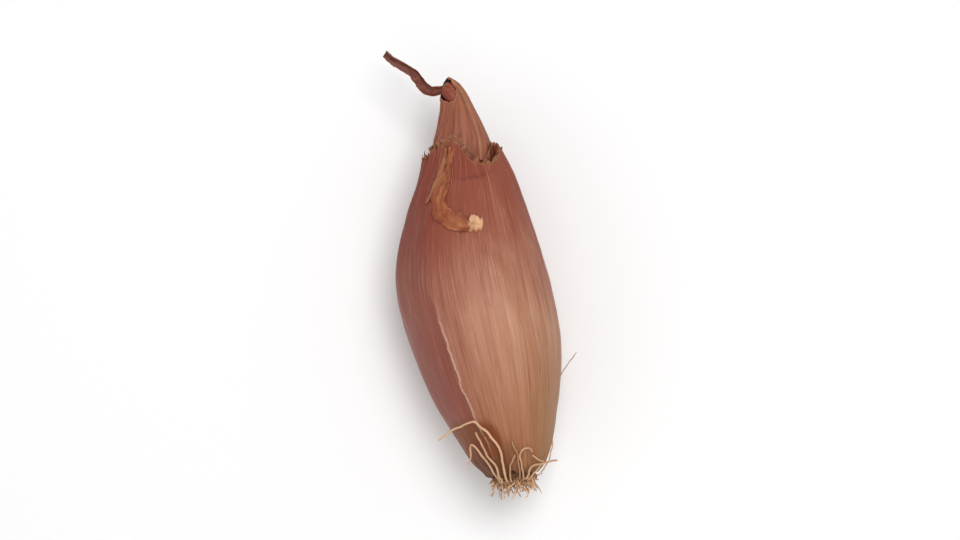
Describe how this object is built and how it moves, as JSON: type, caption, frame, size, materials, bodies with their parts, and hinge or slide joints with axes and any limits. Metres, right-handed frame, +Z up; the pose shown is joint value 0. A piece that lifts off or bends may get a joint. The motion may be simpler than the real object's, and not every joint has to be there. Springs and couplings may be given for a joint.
{
  "type": "shallot",
  "caption": "Long pink shallot in its dry skin, lying on its side, with a torn skin collar round a dried neck, a shrivelled leaf at the tip and a tuft of dried roots.",
  "frame": {"origin": "middle of the small flat spot on the belly that the shallot rests on", "axes": "+Y along the bulb from the roots to the neck, +Z up from the surface it lies on, +X to the right seen from above with the neck away from the viewer"},
  "size_m": [0.0431, 0.1177, 0.0394],
  "materials": {
    "bulb_skin": "satin papery skin, coppery pink, with fine lengthwise veins",
    "neck_sheaths": "dry creased leaf sheaths, reddish brown",
    "dry_leaf": "shrivelled matt leaf, brown",
    "peeled_skin": "thin brown papery skin, satin",
    "roots": "dry straw-coloured root fibres, matt"
  },
  "bodies": {
    "root": {"bulb": "bulb_skin", "neck": "neck_sheaths", "dry_leaf": "dry_leaf", "peeled_skin": "peeled_skin", "root_tuft": "roots"}
  },
  "joints": []
}
